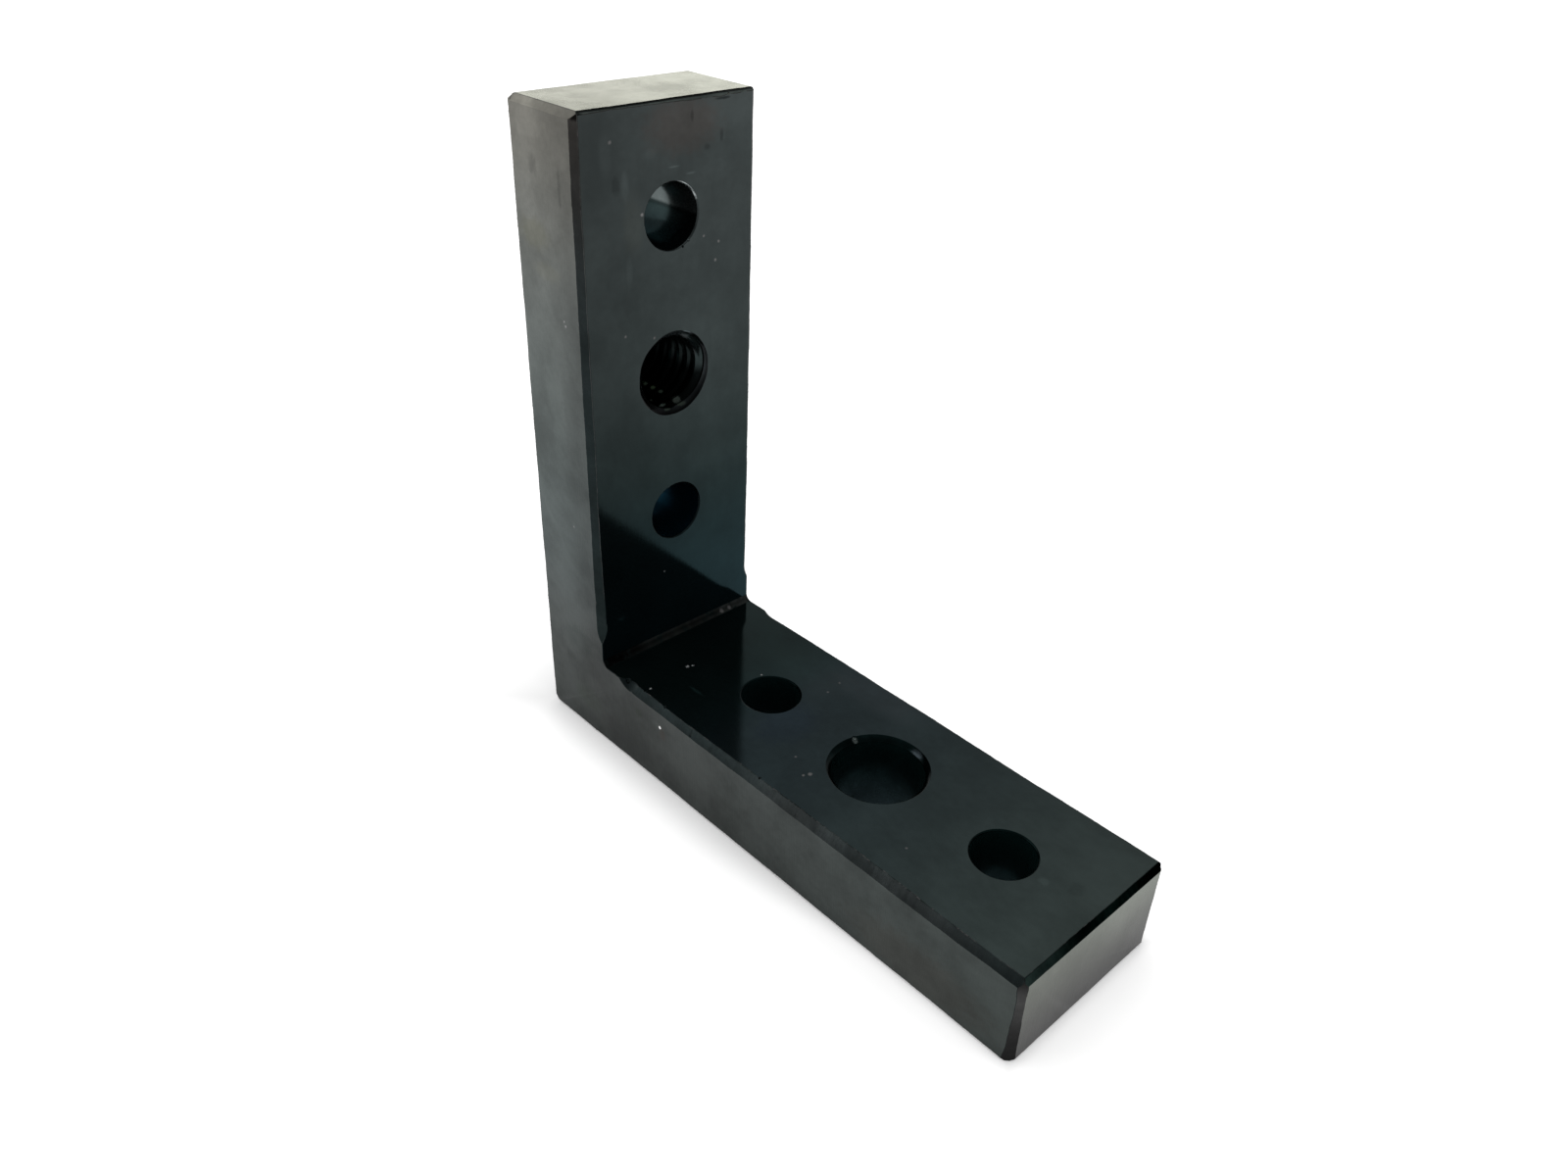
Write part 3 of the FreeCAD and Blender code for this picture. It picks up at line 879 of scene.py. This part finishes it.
# The finishes of the plate's faces. Tones up and along it are (millimetres, colour); many of them,
# and of the gains, are painted light and shade, as the notes say. bore_lit is the upper dowel bore,
# which is lighter in its upper half: a painted reflection.
FINISHES = {
    # Painted shade: the tone darkens towards the bottom, where the face reflects the floor's shade. It is
    # also darker towards the near side.
    "upright": dict(
        up=[(10, (0.006, 0.0175, 0.0215)), (22, (0.009, 0.019, 0.021)), (30, (0.0152, 0.0235, 0.0235)),
            (40, (0.0288, 0.0367, 0.0367)), (62, (0.0385, 0.0455, 0.0455))],
        roughness=0.09, grain=0.12, mottle=0.14, gains=[("Y", LOW.y, HIGH.y, 0.82, 1.14)],
        metal=0.82, marks=UPRIGHT_MARKS, spots=UPRIGHT_FLECKS,
    ),
    # Painted shade: black along the inside corner and lighter towards the free end, standing in for the
    # floor's shade that the face reflects near the corner.
    "base": dict(
        up=even((0.008, 0.017, 0.0165)),
        along=[(-22, dull(0.0)), (-13, dull(0.0)), (-8, (0.004, 0.0075, 0.0095)),
               (-5, (0.0085, 0.009, 0.0135)), (12, (0.016, 0.0182, 0.0203)), (32, (0.038, 0.0432, 0.0405))],
        roughness=0.09, grain=0.12, mottle=0.14, metal=0.82, marks=BASE_MARKS, spots=BASE_FLECKS,
        grain_scale=(0.35, 9.0, 9.0),
    ),
    # Painted light and shade: lighter towards the top, on which the light from the left falls, and darker
    # towards the bottom and the inside corner, where the face reflects the floor's shade. It is also darker
    # near the upright's inner edge.
    "side": dict(
        up=[(4, (0.0115, 0.0165, 0.015)), (12, (0.028, 0.034, 0.033)), (20, (0.046, 0.059, 0.059)),
            (33, (0.050, 0.063, 0.061)), (48, (0.083, 0.093, 0.089)), (58, (0.117, 0.118, 0.106)),
            (65, (0.124, 0.119, 0.103))],
        along=[(-22, dull(0.0)), (-10, (0.0145, 0.016, 0.015)), (10, (0.026, 0.031, 0.030)),
               (32, (0.033, 0.039, 0.037))],
        roughness=0.36, grain=0.4, mottle=0.18, gains=[("X", -28.5, -23.6, 1.02, 0.68)],
        marks=SIDE_MARKS, spots=SIDE_FLECKS,
    ),
    # Its light tone is partly the ground end's own colour and partly painted light; it is lighter still
    # towards the back.
    "top": dict(
        up=even((0.125, 0.13, 0.118)),
        roughness=0.25, grain=0.4, mottle=0.08, edge_tint=(1.0, 1.0, 0.9),
        gains=[("Y", -4.0, 8.0, 0.93, 1.6)],
    ),
    # Painted shade: black at the foot and lighter towards the top, standing in for the floor's contact
    # shadow that the face reflects, and darker at the near edge.
    "end": dict(
        up=[(0, dull(0.0)), (4, (0.024, 0.025, 0.021)), (10, (0.148, 0.168, 0.136))],
        roughness=0.18, grain=0.4, mottle=0.14, edge_tint=dull(0.85),
        gains=[("Y", LOW.y, -6.0, 0.85, 1.0)],
    ),
    "outer": dict(
        up=[(0, (0.04, 0.048, 0.047)), (65, (0.06, 0.066, 0.062))],
        roughness=0.3, grain=0.5, mottle=0.15,
    ),
    # Painted reflection and shade: the tones change from place to place to copy what the chamfers reflect,
    # and are black along the base near the inside corner.
    "chamfer": dict(
        up=[(0, (0.0065, 0.0095, 0.0098)), (10.2, (0.0065, 0.0095, 0.0098)), (12.5, (0.0125, 0.018, 0.018)),
            (24, (0.0105, 0.015, 0.0155)), (40, (0.0125, 0.0175, 0.018)), (50, (0.014, 0.0175, 0.018)),
            (56, (0.0135, 0.0145, 0.0145)), (61, (0.023, 0.022, 0.021)), (65, (0.032, 0.030, 0.028))],
        along=[(-22, dull(0.0)), (-9, dull(0.0008)), (1, dull(0.0028)), (5.5, dull(0.016)),
               (9, dull(0.0115)), (13, dull(0.0065)), (18.5, dull(0.0125)), (24, dull(0.01)),
               (30, dull(0.002))],
        roughness=0.28, grain=0.5, mottle=0.25, metal=0.82, marks=CHAMFER_MARKS,
        gains=[("Z", 9.1, 9.9, 0.8, 1.06)],
    ),
    "top_edge": dict(
        up=even((0.055, 0.066, 0.062)),
        roughness=0.3, grain=0.2, mottle=0.35, marks=CHAMFER_MARKS, gains=[("Z", 64.8, 64.88, 1.0, 0.1)],
    ),
    # Painted light: the light tone stands in for the light that the chamfers at the tops of the sides
    # catch, fading towards the upright's inner face.
    "top_side": dict(
        up=even((0.165, 0.16, 0.138)),
        roughness=0.35, grain=0.4, mottle=0.25, gains=[("X", -26.5, -23.5, 1.0, 0.5)],
    ),
    "end_edge": dict(
        up=even((0.002, 0.0033, 0.003)),
        roughness=0.15, grain=0.3, mottle=0.5, edge_tint=dull(0.3),
        gains=[("Y", LOW.y, -2.0, 7.0, 1.3), ("Y", 0.0, 9.0, 1.0, 0.6)],
    ),
    "end_corner": dict(
        up=[(0, dull(0.0135)), (3, dull(0.0145)), (5, dull(0.024)), (7.3, dull(0.05)), (8.6, dull(0.036)),
            (9.3, dull(0.014)), (10, dull(0.013))],
        roughness=0.3, grain=0.2, mottle=0.2, edge_tint=dull(0.6),
    ),
    "corner": dict(
        up=even((0.011, 0.0125, 0.012)),
        roughness=0.08, grain=0.2, mottle=0.6, gains=[("Y", LOW.y, HIGH.y, 0.1, 1.25)],
        wear=(0.003, 0.005, 0.005),
        spots=[fleck((-22.2, 6.0, 10.2), 0.3, 0.06), fleck((-22.2, 7.1, 10.2), 0.25, 0.06)],
    ),
    "mouth": dict(
        up=[(0, (0.002, 0.005, 0.005)), (18, (0.002, 0.005, 0.005)), (25, (0.008, 0.012, 0.013)),
            (45, (0.008, 0.012, 0.013)), (55, (0.03, 0.036, 0.036)), (65, (0.03, 0.036, 0.036))],
        roughness=0.2, grain=0.3, mottle=0.5, edge_tint=dull(0.7), spots=MOUTH_NICKS_AND_HIGHLIGHT,
    ),
    # Painted reflection and shade: light rings at two depths of the cone, and darker towards its bottom.
    "countersink": dict(
        up=even(dull(0.0)),
        along=[(-23.8, dull(0.004)), (-23.42, dull(0.004)), (-23.25, (0.055, 0.063, 0.066)),
               (-23.03, (0.0, 0.001, 0.001)), (-22.87, (0.034, 0.04, 0.043)), (-22.68, dull(0.003)),
               (-22.5, (0.012, 0.014, 0.015))],
        roughness=0.2, grain=0.2, mottle=0.4, edge_tint=dull(0.7), spots=RIM_HIGHLIGHT_AND_BURRS,
        gains=[("Z", 36.3, 39.8, 0.3, 1.0)],
    ),
    # Painted light: the base's bores grow lighter towards the underside.
    "bore": dict(
        up=[(0, (0.045, 0.07, 0.08)), (3.5, (0.022, 0.038, 0.042)), (7, (0.005, 0.016, 0.016)),
            (10, (0.003, 0.011, 0.010)), (20, (0.001, 0.008, 0.014)), (30, (0.001, 0.008, 0.014))],
        roughness=0.25, grain=0.0, mottle=0.35, metal=0.6, edge_tint=dull(0.6),
    ),
    # Painted reflection: a light band over the upper half of the bore.
    "bore_lit": dict(
        up=[(51.8, (0.012, 0.03, 0.034)), (52.4, (0.016, 0.026, 0.028)), (53.2, (0.013, 0.02, 0.021)),
            (54.4, (0.01, 0.016, 0.016)), (54.65, (0.01, 0.016, 0.016)), (54.75, (0.095, 0.112, 0.112)),
            (54.85, (0.095, 0.112, 0.112)), (56.5, (0.1, 0.118, 0.118)), (58, (0.05, 0.08, 0.085))],
        roughness=0.21, grain=0.0, mottle=0.2, metal=0.9, edge_tint=dull(0.5),
        gains=[("X", -28.0, -24.2, 1.0, 0.6)],
    ),
    # Painted light and shade: darker deep in the hole and on its lower and near sides, and lighter at the
    # mouth.
    "thread": dict(
        up=even((0.0055, 0.0075, 0.0075)),
        roughness=0.18, grain=0.0, mottle=0.5, edge_tint=dull(0.3), metal=0.82, spots=BURRS,
        gains=[("X", -28.2, -27.0, 0.3, 1.0), ("X", -24.2, -23.2, 1.0, 2.5), ("Y", -1.0, 3.0, 0.12, 1.3),
               ("Z", 38.8, 40.2, 0.12, 1.0)],
    ),
    "worn": dict(
        up=[(0, (0.015, 0.02, 0.02)), (12, (0.015, 0.02, 0.02)), (18, (0.031, 0.035, 0.035)),
            (65, (0.045, 0.047, 0.044))],
        roughness=0.3, grain=0.0, mottle=0.5, wear=dull(0.055),
    ),
}


def finish_of(face):
    """Which finish a face of the plate has."""
    centre = face.center
    normal = face.normal
    flat = flat_at(centre, normal)
    if flat:
        way, axis, place = flat
        if axis == 1:
            return "side"
        if place == INNER_X:
            return "upright"
        if place == INNER_Z:
            return "base"
        if way < 0:
            return "outer"
        return "end" if axis == 0 else "top"
    mount = hole_at(centre)
    if mount:
        if abs(normal.dot(Vector(mount["axis"]))) > 0.3 and in_mouth(centre, mount):
            return "countersink" if mount is MOUNTS["upright_thread"] else "mouth"
        return {"upright_thread": "thread", "upright_dowel_upper": "bore_lit"}.get(mount["name"], "bore")
    in_corner = max(abs(centre.x - INNER_X), abs(centre.z - INNER_Z)) < INSIDE_RADIUS
    if in_corner and abs(normal.y) < 0.1:
        return "corner"
    if normal.x > 0.3 and centre.x > HIGH.x - END_ZONE:
        return "end_corner" if normal.y < -0.3 else "end_edge"
    worn = face.material_index == WORN
    at_top = centre.z > HIGH.z - END_ZONE
    if at_top and centre.x > INNER_X - END_ZONE and worn and normal.z > 0.8:
        return "end_edge"
    if at_top and normal.z > 0.4 and normal.x > -0.1:
        return "top_side" if abs(normal.y) > 0.4 else "top_edge"
    if worn and normal.x < 0.8 and normal.y > -0.8:
        return "worn"
    return "chamfer"


def in_mouth(centre, mount):
    """Whether a place in a hole lies in a mouth, or on a countersink of the tapped hole."""
    along_x = abs(mount["axis"][0]) > 0.5
    place = centre.x if along_x else centre.z
    ends = (LOW.x, INNER_X) if along_x else (LOW.z, INNER_Z)
    depth = min(abs(place - end) for end in ends)
    if mount["name"] == "upright_thread":
        out = (centre - Vector(mount["pos_m"]) / MM).yz.length
        return abs(out + depth - COUNTERSINK_RADIUS) < COUNTERSINK_SLACK
    return depth < MOUTH_DEPTH


def dress(plate):
    """Gives every face its finish, and keeps the ground faces flat up to their edges."""
    for kind, look in FINISHES.items():
        plate.data.materials.append(steel(kind, **look))
    order = list(FINISHES)
    shape = bmesh.new()
    shape.from_mesh(plate.data)
    for face in shape.faces:
        face.smooth = True
    for edge in shape.edges:
        kinds = set()
        for face in edge.link_faces:
            flat = flat_at(face.calc_center_median(), face.normal)
            kinds.add((bool(flat), not flat and face.material_index == WORN))
        edge.smooth = edge.calc_face_angle(0) < SMOOTH_TURN and len(kinds) == 1
    shape.to_mesh(plate.data)
    shape.free()
    for face in plate.data.polygons:
        face.material_index = order.index(finish_of(face))


add_camera()
add_floor()
add_world()
add_softbox("softbox_back", (-0.78, 0.62, 0.2), width=0.9, height=0.45, energy=0.6)
add_softbox("softbox_left", (-0.76, -0.6, 0.3), width=0.9, height=0.5, energy=2.0)
plate = make_plate()
plate.name = "angle_plate_finished"
dress(plate)
plate.data.transform(Matrix.Scale(MM, 4))
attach(plate, "root")
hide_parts(NODE)

scene = bpy.context.scene
scene.view_settings.view_transform = "Standard"

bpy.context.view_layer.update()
